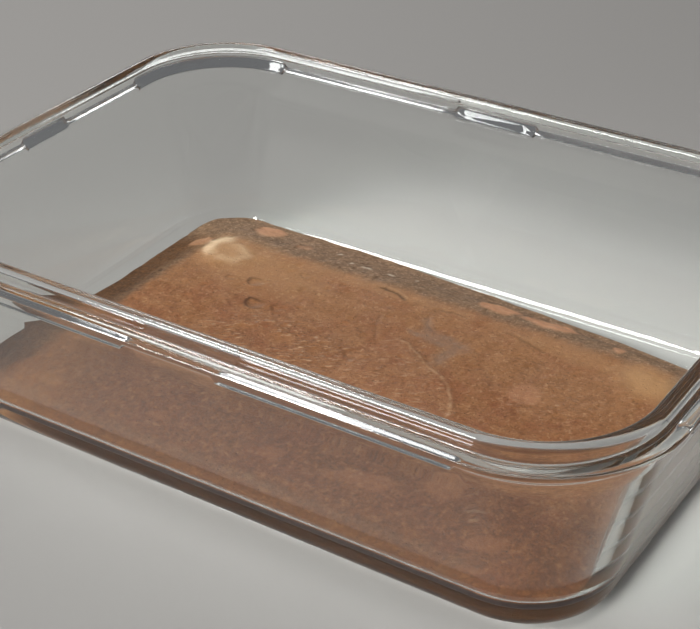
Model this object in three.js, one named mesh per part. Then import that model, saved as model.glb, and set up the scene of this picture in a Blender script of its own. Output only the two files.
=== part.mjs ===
// A thin chocolate cake baked in its own clear glass food container: a rectangular dish with rounded
// corners, walls that lean outwards, a thick floor, an upright lip and a flange for the clips of a lid.
// Millimetres, +Z up. The origin is on the table under the middle of the dish, +X along its long sides.
import * as THREE from 'three';

// ---- dish: overall sizes ----
const HEIGHT = 56.5;             // table to the top of the lip
const LIP_HALF_LENGTH = 100;     // outer face of the upright lip, from the middle
const LIP_HALF_WIDTH = 69.5;
const LIP_CORNER_RADIUS = 29;    // outer face of the lip
const BASE_INSET = 9.7;          // how much smaller the foot is than the lip, on each side
const BASE_CORNER_RADIUS = 22;
const BASE_EDGE_RADIUS = 6.2;    // round between the walls and the underside
const LIP_WALL = 3.5;            // thickness of the lip and of the top of the walls
const FOOT_WALL = 5;             // thickness of the walls where they reach the foot
const FLOOR = 4;
const INNER_FILLET = 5;          // round between the walls and the floor, inside

// ---- dish: rim ----
const LEDGE_DROP = 4;            // lip top to the top of the flange
const FLANGE_REACH = 4;          // how far the flange stands out from the lip
const FLANGE_ROUND = 0.7;        // round of the flange's outer edges
const LIP_FILLET = 0.9;          // round between the lip and the flange
const THIN_EDGE_DROP = 5.7;      // lip top to the flange's lower outer edge, between the clip seats
const THIN_ROOT_DROP = 8.8;      // lip top to where that sloping underside meets the wall
const SEAT_EDGE_DROP = 7;        // the same two drops on the four pairs of clip seats
const SEAT_ROOT_DROP = 7.8;
const LONG_SEAT = [12.3, 69.5];  // a clip seat runs between these distances from the middle of a long side
const SHORT_SEAT = [8.5, 38];    // and of a short side
const SEAT_RAMP = 1.4;           // length of the step at each end of a seat

// ---- cake: thickness ----
const GAP = 0.3;                 // between the cake and the glass
const MIDDLE = 5;                // over its flat middle
const NEAR_EDGE = 3.9;           // where it meets the near wall
const LEFT_EDGE = 1.6;           // where it meets the two short walls, towards the far side
const RIGHT_EDGE = 3.6;
const FAR_EDGE = [2.7, 0.8];     // where it ends at the far side: at the left, and at the right
const MARGIN = 15;               // width of the porous border that slopes down to the walls
const NEAR_MARGIN = 7;           // the same along the near wall, where it hardly slopes
const SHRINKAGE = 3.5;           // how far the edge has drawn away from the wall, at the far right

// ---- cake: relief ----
const BORDER_LUMP = 0.35;        // unevenness of the border
const MIDDLE_LUMP = 0.2;         // and of the flat middle
const SWELLINGS = [              // pale swellings of the skin: place, radius, height
  { x: -64, y: 31, r: 11, rise: 0.8 }, { x: 64, y: 31, r: 11, rise: 0.6 },
  { x: -62, y: -42, r: 14, rise: 0.7 },
];
const PITS = [                   // burst bubbles: place, radius
  { x: -41.3, y: 12.2, r: 3.6 }, { x: -47.9, y: 21.2, r: 3 },
  { x: -34.3, y: 12.7, r: 2.4 }, { x: -55, y: 18.7, r: 2 },
];
const PIT_DEPTH = 1;
const FLAP = { x: 1.4, y: 17.7, from: -98, to: -36, reach: 42, rise: 0.7 }; // raised wedge of folded skin
const CREASES = [                // folds of the skin, each a short path of places
  [[-14.7, 35.7], [-6.6, 33.7]], [[-8.7, 26.7], [-3.6, 14.7], [-0.6, 10.7]], [[22.5, 33.2], [36.7, 32.8]],
];
const CREASE_WIDTH = 1.8;
const CREASE_DEPTH = 0.5;

// ---- fineness ----
const CORNER_STEPS = 9;          // steps round each corner
const ROUND_STEPS = 4;           // steps over each small round of the profile
const CAKE_COLUMNS = 66;         // cells of the cake's top along the dish
const CAKE_ROWS = 28;            // and across it, between the corners
const SIDE_STEPS = 3;            // steps down the side of the cake

const { clamp, lerp, degToRad } = THREE.MathUtils;

// ---- places round the dish ----

// One straight side's stations as shares of its half length, so that walls of any slope stay straight.
function sideStations(seat, halfLength, plain) {
  const steps = seat.flatMap((at) => [at - SEAT_RAMP / 2, at + SEAT_RAMP / 2]);
  const half = [...plain, ...steps].map((at) => at / halfLength).sort((a, b) => a - b);
  return [...half.map((t) => -t).reverse(), 0, ...half];
}

const LONG_STRAIGHT = LIP_HALF_LENGTH - LIP_CORNER_RADIUS;
const SHORT_STRAIGHT = LIP_HALF_WIDTH - LIP_CORNER_RADIUS;
const LONG_STATIONS = sideStations(LONG_SEAT, LONG_STRAIGHT, [6, 20, 28, 36, 44, 52, 60]);
const SHORT_STATIONS = sideStations(SHORT_SEAT, SHORT_STRAIGHT, [16, 23, 30]);

// Walks round a rounded rectangle anticlockwise, from the middle of its right side.
// Each station is a point of the straight core and the direction in which the radius leaves it.
function walkStations() {
  const stations = [];
  const sides = [
    { shares: SHORT_STATIONS, at: (t) => [1, t], angle: 0 },
    { shares: LONG_STATIONS, at: (t) => [-t, 1], angle: 90 },
    { shares: SHORT_STATIONS, at: (t) => [-1, -t], angle: 180 },
    { shares: LONG_STATIONS, at: (t) => [t, -1], angle: 270 },
  ];
  for (const { shares, at, angle } of sides) {
    for (const t of shares) stations.push({ core: at(t), angle });
    const corner = at(1);
    for (let k = 0; k <= CORNER_STEPS; k++) {
      stations.push({ core: corner, angle: angle + 90 * k / CORNER_STEPS });
    }
  }
  return stations;
}

const STATIONS = walkStations();

// A closed ring of points: a rounded rectangle of the given half sizes, radius and height.
function ring({ halfLength, halfWidth, radius, z }) {
  return STATIONS.map(({ core, angle }) => {
    const a = degToRad(angle);
    const x = core[0] * (halfLength - radius) + radius * Math.cos(a);
    const y = core[1] * (halfWidth - radius) + radius * Math.sin(a);
    return new THREE.Vector3(x, y, z);
  });
}

// The rounded rectangle at a given inset from the lip's outer face, and a given offset out from there.
function dishOutline(inset, offset) {
  const slope = (LIP_CORNER_RADIUS - BASE_CORNER_RADIUS) / BASE_INSET;
  return {
    halfLength: LIP_HALF_LENGTH - inset + offset,
    halfWidth: LIP_HALF_WIDTH - inset + offset,
    radius: LIP_CORNER_RADIUS - slope * inset + offset,
  };
}

const dishRing = (inset, offset, z) => ring({ ...dishOutline(inset, offset), z });

// 0 at the top of the leaning wall, 1 where it reaches the round of the foot.
function downWall(z) {
  const top = HEIGHT - THIN_ROOT_DROP;
  return Math.max(0, (top - z) / (top - BASE_EDGE_RADIUS));
}

const wallInset = (z) => BASE_INSET * downWall(z);
const wallThickness = (z) => lerp(LIP_WALL, FOOT_WALL, downWall(z));

// 1 on a clip seat, 0 between seats, and a short ramp at each end.
function seatShare(x, y) {
  const onLong = Math.abs(y) > LIP_HALF_WIDTH - 1 && Math.abs(x) < LONG_STRAIGHT + 1;
  const onShort = Math.abs(x) > LIP_HALF_LENGTH - 1 && Math.abs(y) < SHORT_STRAIGHT + 1;
  if (!onLong && !onShort) return 0;
  const [from, to] = onLong ? LONG_SEAT : SHORT_SEAT;
  const along = Math.abs(onLong ? x : y);
  const rise = (along - from) / SEAT_RAMP + 0.5;
  const fall = (to - along) / SEAT_RAMP + 0.5;
  return clamp(Math.min(rise, fall), 0, 1);
}

// A ring under the flange, whose height changes between the clip seats and the thinner stretches.
function flangeRing(offset, thinDrop, seatDrop) {
  const points = dishRing(0, offset, 0);
  for (const p of points) {
    p.z = HEIGHT - lerp(thinDrop, seatDrop, seatShare(p.x, p.y));
  }
  return points;
}

// Angles from one direction to another, in radians.
function arcAngles(fromDeg, toDeg) {
  const angles = [];
  for (let k = 0; k <= ROUND_STEPS; k++) {
    angles.push(degToRad(fromDeg + (toDeg - fromDeg) * k / ROUND_STEPS));
  }
  return angles;
}

// ---- the dish ----

// A closed body from triangles that share their points.
function closedBody(points, index) {
  const geometry = new THREE.BufferGeometry();
  const positions = points.flatMap((p) => [p.x, p.y, p.z]);
  geometry.setAttribute('position', new THREE.Float32BufferAttribute(positions, 3));
  geometry.setIndex(index);
  return geometry.toNonIndexed();
}

// One closed solid through a stack of rings, ended by a point at each end.
function loft(rings, firstPoint, lastPoint) {
  const count = STATIONS.length;
  const first = rings.length * count;
  const last = first + 1;
  const index = [];
  for (let k = 0; k < count; k++) {
    const next = (k + 1) % count;
    index.push(first, next, k);
    for (let row = 0; row + 1 < rings.length; row++) {
      const low = row * count;
      const high = low + count;
      index.push(low + k, low + next, high + next, low + k, high + next, high + k);
    }
    const end = (rings.length - 1) * count;
    index.push(end + k, end + next, last);
  }
  return closedBody([...rings.flat(), firstPoint, lastPoint], index);
}

// The outside of the dish, from the underside up the wall.
function outerRings() {
  const base = arcAngles(90, 0).map((a) => dishRing(
    BASE_INSET,
    -BASE_EDGE_RADIUS * (1 - Math.cos(a)),
    BASE_EDGE_RADIUS * (1 - Math.sin(a)),
  ));
  return [...base, dishRing(wallInset(HEIGHT / 2), 0, HEIGHT / 2)];
}

// The flange, the ledge behind it and the upright lip with its round top.
function rimRings() {
  const reach = FLANGE_REACH;
  const ledge = HEIGHT - LEDGE_DROP;
  const topRound = LIP_WALL / 2;
  const under = [
    flangeRing(0, THIN_ROOT_DROP, SEAT_ROOT_DROP),
    flangeRing(LIP_FILLET, THIN_ROOT_DROP - LIP_FILLET, SEAT_EDGE_DROP),
    flangeRing(reach - FLANGE_ROUND, THIN_EDGE_DROP, SEAT_EDGE_DROP),
    flangeRing(reach, THIN_EDGE_DROP - FLANGE_ROUND, SEAT_EDGE_DROP - FLANGE_ROUND),
  ];
  const above = [
    dishRing(0, reach, ledge - FLANGE_ROUND / 2),
    dishRing(0, reach - FLANGE_ROUND, ledge),
    dishRing(0, LIP_FILLET, ledge),
    dishRing(0, 0, ledge + LIP_FILLET),
  ];
  const lip = arcAngles(0, 180).map((a) => dishRing(
    0,
    topRound * (Math.cos(a) - 1),
    HEIGHT - topRound * (1 - Math.sin(a)),
  ));
  return [...under, ...above, ...lip];
}

// How far the round above the floor stands in from the line of the wall, at a height over the floor.
function filletInset(height, radius) {
  const up = clamp(height / radius, 0, 1);
  return radius * (1 - Math.sqrt(up * (2 - up)));
}

// The inside of the dish at a height: the leaning wall, or the round that curves in to the floor.
function insideRing(z) {
  return dishRing(wallInset(z), -wallThickness(z) - filletInset(z - FLOOR, INNER_FILLET), z);
}

function makeDish() {
  const fillet = arcAngles(90, 0).map((a) => FLOOR + INNER_FILLET * (1 - Math.sin(a)));
  const heights = [...fillet, HEIGHT / 2, HEIGHT - THIN_ROOT_DROP];
  const inside = heights.reverse().map(insideRing);
  const rings = [...outerRings(), ...rimRings(), ...inside];
  return loft(rings, new THREE.Vector3(0, 0, 0), new THREE.Vector3(0, 0, FLOOR));
}

// ---- the edge of the cake ----

const CAKE_FLOOR = FLOOR + GAP;
const LEVEL = CAKE_FLOOR + NEAR_EDGE / 2; // height at which the cake's outline follows the wall
const OUTLINE = dishOutline(wallInset(LEVEL), -wallThickness(LEVEL) - GAP);

// 0 before one value, 1 beyond another, and a smooth step between; the first may be the larger.
function smooth(from, to, value) {
  const t = clamp((value - from) / (to - from), 0, 1);
  return t * t * (3 - 2 * t);
}

// How far a point lies in from the outline, and the direction straight out.
function fromOutline(x, y) {
  const qx = Math.abs(x) - (OUTLINE.halfLength - OUTLINE.radius);
  const qy = Math.abs(y) - (OUTLINE.halfWidth - OUTLINE.radius);
  const ox = Math.max(qx, 0);
  const oy = Math.max(qy, 0);
  const length = Math.hypot(ox, oy);
  const inside = OUTLINE.radius - length - Math.min(Math.max(qx, qy), 0);
  const straight = qx > qy ? [1, 0] : [0, 1];
  const [nx, ny] = length > 1e-6 ? [ox / length, oy / length] : straight;
  return { inside, nx: nx * Math.sign(x), ny: ny * Math.sign(y) };
}

// Thickness of the cake where it ends, on the side that a point belongs to.
function edgeThickness(x, y) {
  const side = lerp(LEFT_EDGE, RIGHT_EDGE, smooth(-40, 60, x));
  const short = lerp(NEAR_EDGE, side, smooth(-50, 12, y));
  const far = lerp(FAR_EDGE[0], FAR_EDGE[1], smooth(-40, 55, x));
  return lerp(short, far, smooth(36, 52, y));
}

const drawnAway = (x, y) => SHRINKAGE * smooth(40, 78, x) * smooth(30, 50, y);

// How far the side of the cake stands out from the outline at a thickness above the cake's underside.
function sideOffset(thickness) {
  const wallLean = (wallInset(0) - wallInset(1)) + (wallThickness(0) - wallThickness(1));
  const lean = wallLean * (CAKE_FLOOR + thickness - LEVEL);
  return lean - filletInset(thickness, INNER_FILLET - GAP);
}

// ---- the top of the cake ----

// A slow, even unevenness with no seam, between -1 and 1.
function waviness(x, y, size) {
  const a = Math.sin(x / size + 1.7 * Math.sin(y / size + 0.6));
  const b = Math.sin(y / (0.8 * size) - 1.3 * Math.sin(x / (1.3 * size) + 2.1));
  return (a + b) / 2;
}

// Distance to a path of places.
function toPath(x, y, path) {
  let nearest = Infinity;
  for (let k = 0; k + 1 < path.length; k++) {
    const [ax, ay] = path[k];
    const [dx, dy] = [path[k + 1][0] - ax, path[k + 1][1] - ay];
    const share = clamp(((x - ax) * dx + (y - ay) * dy) / (dx * dx + dy * dy), 0, 1);
    nearest = Math.min(nearest, Math.hypot(x - ax - share * dx, y - ay - share * dy));
  }
  return nearest;
}

// The wedge of folded skin: highest along its two straight edges, running out inside and behind.
function flapRise(x, y) {
  const dx = x - FLAP.x;
  const dy = y - FLAP.y;
  const [from, to] = [degToRad(FLAP.from), degToRad(FLAP.to)];
  const inside = Math.min(dy * Math.cos(from) - dx * Math.sin(from), dx * Math.sin(to) - dy * Math.cos(to));
  const fade = smooth(FLAP.reach, FLAP.reach / 2, Math.hypot(dx, dy));
  return FLAP.rise * smooth(0, 2, inside) * fade * (1 - 0.6 * smooth(3, 14, inside));
}

function relief(x, y) {
  const swells = SWELLINGS.map((s) => s.rise * smooth(s.r, s.r / 4, Math.hypot(x - s.x, y - s.y)));
  const pits = PITS.map((p) => smooth(p.r, 0, Math.hypot(x - p.x, y - p.y)));
  const creases = CREASES.map((path) => Math.exp(-((toPath(x, y, path) / CREASE_WIDTH) ** 2)));
  const sunk = PIT_DEPTH * Math.max(...pits) + CREASE_DEPTH * Math.max(...creases);
  return Math.max(...swells) + flapRise(x, y) - sunk;
}

// Thickness of the cake at a place that lies inside its edge by a given distance.
function cakeThickness(x, y, inside, edge, margin) {
  const middle = smooth(0, margin, inside);
  const border = edge + BORDER_LUMP * waviness(x, y, 7) * smooth(0, 4, inside);
  const flat = MIDDLE + MIDDLE_LUMP * waviness(x, y, 19);
  return lerp(border, flat, middle) + smooth(0, 9, inside) * relief(x, y);
}

// One point of the top, from its place on the plain outline.
function topPoint(x, y) {
  const { inside, nx, ny } = fromOutline(x, y);
  const edge = edgeThickness(x, y);
  const out = (sideOffset(edge) - drawnAway(x, y)) * smooth(16, 0, inside);
  const px = x + nx * out;
  const py = y + ny * out;
  const margin = lerp(MARGIN, NEAR_MARGIN, smooth(0.2, 0.9, -ny));
  const point = new THREE.Vector3(px, py, CAKE_FLOOR + cakeThickness(px, py, inside, edge, margin));
  return Object.assign(point, { edge, nx, ny, out });
}

// Places of the rows across the dish: even between the corners, and by angle round them.
function rowPlaces() {
  const straight = OUTLINE.halfWidth - OUTLINE.radius;
  const rows = [];
  for (let k = 0; k <= CAKE_ROWS; k++) rows.push(straight * (2 * k / CAKE_ROWS - 1));
  for (let k = 1; k <= CORNER_STEPS; k++) {
    const y = straight + OUTLINE.radius * Math.sin(degToRad(90 * k / CORNER_STEPS));
    rows.push(y);
    rows.unshift(-y);
  }
  return rows;
}

// The grid of the top: rows that reach from one short side to the other.
function topGrid() {
  const { halfLength, halfWidth, radius } = OUTLINE;
  return rowPlaces().map((y) => {
    const over = Math.max(Math.abs(y) - (halfWidth - radius), 0);
    const reach = halfLength - radius + Math.sqrt(Math.max(radius * radius - over * over, 0));
    const row = [];
    for (let k = 0; k <= CAKE_COLUMNS; k++) row.push(topPoint(reach * (2 * k / CAKE_COLUMNS - 1), y));
    return row;
  });
}

// Numbers of the grid's outer points, anticlockwise.
function gridRim(rows, columns) {
  const rim = [];
  for (let k = 0; k < columns; k++) rim.push(k);
  for (let k = 0; k < rows; k++) rim.push(k * (columns + 1) + columns);
  for (let k = columns; k > 0; k--) rim.push(rows * (columns + 1) + k);
  for (let k = rows; k > 0; k--) rim.push(k * (columns + 1));
  return rim;
}

// The side of the cake below one outer point of the top: down the wall and the round of the floor.
function sidePoint(top, share) {
  const thickness = top.edge * share;
  const out = Math.min(sideOffset(thickness), top.out) - top.out;
  return new THREE.Vector3(top.x + top.nx * out, top.y + top.ny * out, CAKE_FLOOR + thickness);
}

function makeCake() {
  const grid = topGrid();
  const rows = grid.length - 1;
  const width = CAKE_COLUMNS + 1;
  const points = grid.flat();
  const index = [];
  for (let row = 0; row < rows; row++) {
    for (let k = 0; k < CAKE_COLUMNS; k++) {
      const at = row * width + k;
      index.push(at, at + 1, at + width + 1, at, at + width + 1, at + width);
    }
  }
  let above = gridRim(rows, CAKE_COLUMNS);
  const rimPoints = above.map((k) => points[k]);
  for (let step = 1; step <= SIDE_STEPS; step++) {
    const start = points.length;
    points.push(...rimPoints.map((p) => sidePoint(p, (1 - step / SIDE_STEPS) ** 1.5)));
    const below = above.map((_, k) => start + k);
    for (let k = 0; k < above.length; k++) {
      const next = (k + 1) % above.length;
      index.push(above[k], below[k], below[next], above[k], below[next], above[next]);
    }
    above = below;
  }
  const middle = points.push(new THREE.Vector3(0, 0, CAKE_FLOOR)) - 1;
  above.forEach((at, k) => index.push(at, middle, above[(k + 1) % above.length]));
  return closedBody(points, index);
}

// ---- materials ----

const glass = new THREE.MeshStandardMaterial({
  color: '#dbe4e1', roughness: 0.04, metalness: 0, transparent: true, opacity: 0.35,
});
const cakeCrumb = new THREE.MeshStandardMaterial({ color: '#8f6848', roughness: 0.6, metalness: 0 });

function namedMesh(name, geometry, material) {
  geometry.computeVertexNormals();
  const mesh = new THREE.Mesh(geometry, material);
  mesh.name = name;
  return mesh;
}

const cakeInDish = new THREE.Group();
cakeInDish.add(namedMesh('dish', makeDish(), glass));
cakeInDish.add(namedMesh('cake', makeCake(), cakeCrumb));

export default cakeInDish;
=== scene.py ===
"""A thin chocolate cake in its clear glass food container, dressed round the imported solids.

Shapes are worked out in millimetres, in the part's own frame (+X along the dish, +Z up), and go to
Blender in metres. The dish and the cake are the same forms as the solids, with finer rounds and relief.
Each mark of the cake's top is worked out once, as a height for the mesh and a share for the material.
"""

import math

import bpy
import numpy as np
from mathutils import Matrix, Vector


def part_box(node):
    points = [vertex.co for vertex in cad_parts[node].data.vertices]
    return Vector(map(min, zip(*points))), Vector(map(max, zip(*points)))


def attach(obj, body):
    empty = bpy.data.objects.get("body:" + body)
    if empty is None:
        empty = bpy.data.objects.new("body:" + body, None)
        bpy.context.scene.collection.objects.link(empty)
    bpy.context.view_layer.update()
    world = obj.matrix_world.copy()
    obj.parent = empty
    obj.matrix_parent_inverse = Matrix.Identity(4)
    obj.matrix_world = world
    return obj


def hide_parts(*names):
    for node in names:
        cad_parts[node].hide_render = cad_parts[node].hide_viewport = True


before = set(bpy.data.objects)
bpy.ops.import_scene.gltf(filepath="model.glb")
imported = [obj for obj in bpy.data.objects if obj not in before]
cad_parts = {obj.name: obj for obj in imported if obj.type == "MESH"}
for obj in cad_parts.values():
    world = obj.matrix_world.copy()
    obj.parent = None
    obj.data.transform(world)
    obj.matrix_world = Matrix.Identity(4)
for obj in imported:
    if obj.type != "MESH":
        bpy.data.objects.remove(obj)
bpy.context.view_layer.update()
MM = 0.001

# ---- dish, in millimetres ----
DISH_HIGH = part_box("dish")[1] / MM
HEIGHT = DISH_HIGH.z
FLANGE_REACH = 4.0               # how far the flange stands out from the lip
FLANGE_ROUND = 0.7               # the round of its edge
LIP_HALF_LENGTH = DISH_HIGH.x - FLANGE_REACH
LIP_HALF_WIDTH = DISH_HIGH.y - FLANGE_REACH
LIP_CORNER_RADIUS = 29.0
LIP_FILLET = 0.9                 # between the lip and the flange, above and below
BASE_INSET = 9.7                 # how far the wall leans in on its way down
BASE_CORNER_RADIUS = 22.0
BASE_EDGE_RADIUS = 6.2           # the round from the wall to the underside
LIP_WALL, FOOT_WALL = 3.5, 5.0   # thickness of the wall at its top and at its foot
FLOOR = 4.0                      # thickness of the floor
INNER_FILLET = 5.0               # the round from the wall to the floor
LEDGE_DROP = 4.0                 # from the top of the lip to the flange's upper face
THIN_EDGE_DROP, THIN_ROOT_DROP = 5.7, 8.8    # and to its lower face between the clip seats
SEAT_EDGE_DROP, SEAT_ROOT_DROP = 7.0, 7.8    # and on them
ROOT_BEND = (0.27, 0.55)         # how far out and up the flange's root bends, as shares of the fillet
EDGE_BEND = (0.3, 0.25)          # how far before its edge, and how much lower, the slope ends
LONG_SEAT = (12.3, 69.5)         # where the seats of the long sides begin and end
SHORT_SEAT = (8.5, 38.0)
SEAT_RAMP = 1.4                  # length of the step at each end of a seat
SLACK = 1.0                      # within this of a straight side a point counts as on it

# ---- cake, in millimetres ----
SINK = 0.12                      # how far the cake reaches into the glass it sticks to
MIDDLE = 5.0                     # thickness over the flat middle
NEAR_EDGE = 3.9                  # and where it meets the near wall
LEFT_EDGE, RIGHT_EDGE = 1.6, 3.6
FAR_EDGE = (2.7, 0.8)            # at the left and at the right
MARGIN, NEAR_MARGIN = 15.0, 7.0  # width of the border that slopes down to the walls
SHRINKAGE = 3.5                  # how far the edge has drawn away from the wall at the far right
MARGIN_TURN = (0.2, 0.9)         # how far an edge faces the near side where the margin narrows
LEFT_TO_RIGHT, FAR_LEFT_TO_RIGHT = (-40, 60), (-40, 55)    # where one thickness gives way to
NEAR_TO_SIDE, SIDE_TO_FAR = (-50, 12), (36, 52)            # the next, along X and along Y
DRAWN_X, DRAWN_Y = (40, 78), (30, 50)                      # and where the shrinkage comes in
EDGE_WAVE = 0.22                 # unevenness of the thickness along the edge
EDGE_PULL = 16                   # how far in from the edge its places move with it
RELIEF_START = 2.2               # how far in from the edge the relief has its full height
SWELLING_START = 9
BORDER_LUMP, MIDDLE_LUMP = 0.35, 0.2
SWELLINGS = ((-64, 31, 11, 0.8), (64, 31, 11, 0.6), (-62, -42, 14, 0.7))   # place, radius, rise
PITS = (                         # burst bubbles: place, radius, how strongly each shows
    (-40.6, 12.4, 3.1, 1.0), (-47.0, 22.0, 2.8, 0.8), (-34.0, 13.2, 2.1, 0.5),
    (-54.8, 19.8, 1.6, 0.5), (-37.5, 31.5, 1.6, 0.4),
)
FLAP = (                         # the edge of a piece of folded skin, from its near left end
    (-3.2, -18.0), (-2.8, 0.0), (-1.8, 8.0), (-0.6, 13.5), (1.6, 16.6), (4.8, 16.2), (9.5, 13.4),
    (14.6, 9.8), (19.5, 8.0), (23.6, 5.2), (27.0, 1.0), (30.0, -4.5), (32.0, -18.0),
)
FLAP_TOP, FLAP_TOP_FADE = (10, 8), (26, 8)   # it stands highest round this place
FLAP_RISE = 0.26
FLAP_SLOPE = (-2.2, 1.8)         # from outside its edge to inside it
FLAP_END_Y = (-16, -6)           # where it fades out towards the near side
FLAP_RIDGE_AT, FLAP_RIDGE_WIDTH = 0.2, 0.4
FLAP_PALE_FROM = (0.34, 0.42)    # the share of its length from which the edge is paled as a painted highlight
CREASES = (                      # a path, and how strongly it shows
    (((-17.5, 37.2), (-12.0, 36.6), (-5.5, 34.2)), 1.0),
    (((2.0, 35.0), (8.0, 35.8), (12.5, 36.4)), 0.4),
    (((-9.0, 27.0), (-7.2, 20.0), (-5.0, 16.5), (-2.0, 11.5)), 0.35),
    (((22.5, 35.0), (29.0, 33.4), (38.0, 31.2)), 0.4),
    (((2.2, 31.5), (5.0, 27.0), (9.0, 23.0)), 0.3),
    (((14.6, 19.5), (15.4, 14.0), (17.5, 10.5)), 0.15),
)
CREASE_WIDTH, CREASE_LIP_AT, CREASE_REACH = 0.5, 0.8, 2.5

BORDER_REACH = (0.84, 1.06)      # the porous border's width as a share of the margin, near and far
BORDER_WIDENS_Y, BORDER_SOFTNESS = (22, 38), 0.16
NEAR_BORDER, RIGHT_BORDER = 0.35, 0.1        # how much of it shows along the near and the right side
NEAR_BORDER_Y = (-44, -52)                   # and where those sides begin: the right one reaches
BARE_EDGE_X, BARE_X, BARE_Y = (70, 80), (58, 66), (38, 28)     # further in away from the far corner
LEFT_SHADE_X, LEFT_SHADE_END_Y = (-69, -79), (30, 44)    # where painted shade dulls the top at the left, and stops
FRONT_LUMPS_AND_SHADE_Y = (-8, -36)                          # and where it grows coarser in front, and darker with painted shade
UNDER_FADE, BAND_FADE = (0.25, 0.05), (0.99, 0.9)      # where the side's colours fade in, as shares of it

# Depths and heights of the marks.
LARGE_PORE, SMALL_PORE, HOLE = 0.15, 0.1, 0.16
GRAIN = 0.05
PIT_DEPTHS, PIT_RIM = (0.34, 0.16), 0.12     # depths: at the steep side, and at the other
CREASE_DEPTH, CREASE_LIP = 0.26, 0.1
FLAP_RIDGE, RIPPLE_RISE, WET_DROP = 0.07, 0.2, 0.1
CRUST_RISE, BLOTCH_RISE, FLECK_RISE = 0.2, 0.14, 0.16

# Marks of the cake's top as ellipses: place, half lengths, turn in degrees, share, softness of the edge.
PALE_AND_HIGHLIGHT_SPOTS = (                   # paler, drier skin, and painted highlights on the swellings at the corners
    (-64, 31, 8.5, 8, 0, 0.68, 0.8), (-54, 29.5, 24, 11, -10, 0.44, 0.8), (66, 32, 10, 6, -25, 0.75, 0.7),
    (44, 34.5, 26, 4, -3, 0.35, 0.6), (-66, -40, 12, 18, 8, 0.22, 0.6), (-62, -45, 3.4, 2.6, 0, 0.5, 0.6),
)
PALE_STRIP = (-20, 36.5, 38, 3.2, 0, 0.3, 0.7)
BLOTCHES = tuple((*spot, 0.18) for spot in (   # bare orange crumb
    (15.8, 46.1, 5.6, 3.5, 0, 1.0), (31.2, 46.0, 8.6, 4.4, -2, 1.0), (53.4, 43.6, 1.7, 2.0, 0, 0.6),
    (-62.5, 48.6, 4.4, 3.8, 10, 0.7), (-75.5, 33.6, 3.0, 2.6, 40, 0.5), (-48, 46.5, 3.0, 1.6, 0, 0.35),
    (42, 11.5, 4.3, 3.8, 0, 0.3), (27, -38.6, 8.0, 2.2, 12, 0.35), (45, -32, 4.6, 4.2, -35, 0.4),
    (62, -43.5, 4.6, 2.4, 25, 0.35), (-29, -42, 2.8, 1.6, 0, 0.35), (3, -41, 3.0, 2.2, 0, 0.25),
))
FLECKS = tuple((*spot, 0.4) for spot in (      # small near-white crumbs
    (-31.2, 45.0, 0.5, 0.7, 20, 1), (-26.0, 44.1, 2.3, 0.4, -12, 1), (-18.6, 46.3, 1.0, 0.4, 10, 1),
    (-11.0, 46.8, 0.6, 0.5, 0, 1), (-37.4, 48, 0.7, 0.5, 30, 1), (54.6, -36, 2.6, 0.35, 24, 0.4),
    (56.6, -38.4, 1.7, 0.3, 30, 0.4), (2.8, -49.5, 1.3, 0.7, 0, 0.3),
))
RIPPLED = (-24, -1, 22, 11, 6, 1, 0.5)         # wrinkled skin
RIPPLED_TOO = ((50, 16, 11, 11, 0, 0.3, 0.6), (41.5, 7, 2.2, 1.6, 0, 0.8, 0.5))
WET_SPOT = (12.5, 22.3, 6.8, 2.6, -5, 1, 0.45)
WET_ARMS = (                     # a path and the half width of a moist streak
    (((9, 22), (5, 27), (1, 31)), 1.3),
    (((7, 22), (0, 21.5)), 1.1),
    (((16, 21), (15.5, 15), (16.5, 10)), 1.7),
)
GLOW_WIDTHS, GLOW_INNER_SHARE = (1.9, 1.5), 0.36
GLOW_OUTER = ((-67.5, 36.5), (-70.0, 32.5), (-69.0, 28.0), (-66.0, 25.0))      # the brightest crust, paled further as a painted highlight
GLOW_INNER = ((-66.5, 33.5), (-62.0, 34.5), (-57.5, 31.5), (-58.5, 27.5), (-64.0, 26.0))

# ---- fineness ----
NOISE_LAYERS = 3
STATION_SPACING = 4.0            # between rings' points along a straight side of the dish
RAMP_STEPS = 6                   # points over each step of a clip seat
CORNER_STEPS = 40                # steps round each corner of the dish
FOOT_STEPS, EDGE_STEPS, LIP_STEPS = 14, 5, 18    # steps over each round of its profile
WALL_STEPS = 8
HELD = 0.4                       # a ring this far beside each flat keeps the flat's shading flat
FLAT_REACH = 8.0                 # how far in from its round the last ring of a flat lies
BELOW_FLANGE = 0.6               # how far below the flange the wall's last ring lies
SHARP_ANGLE = 50                 # edges sharper than this aren't shaded smooth
CAKE_COLUMNS = 380
CAKE_ROWS = 175
CAKE_CORNER_ROWS = 28
SIDE_STEPS = 6                   # rings down the cake's side
SIDE_SPACING = 1.3               # above 1: closer together towards the bottom

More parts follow.
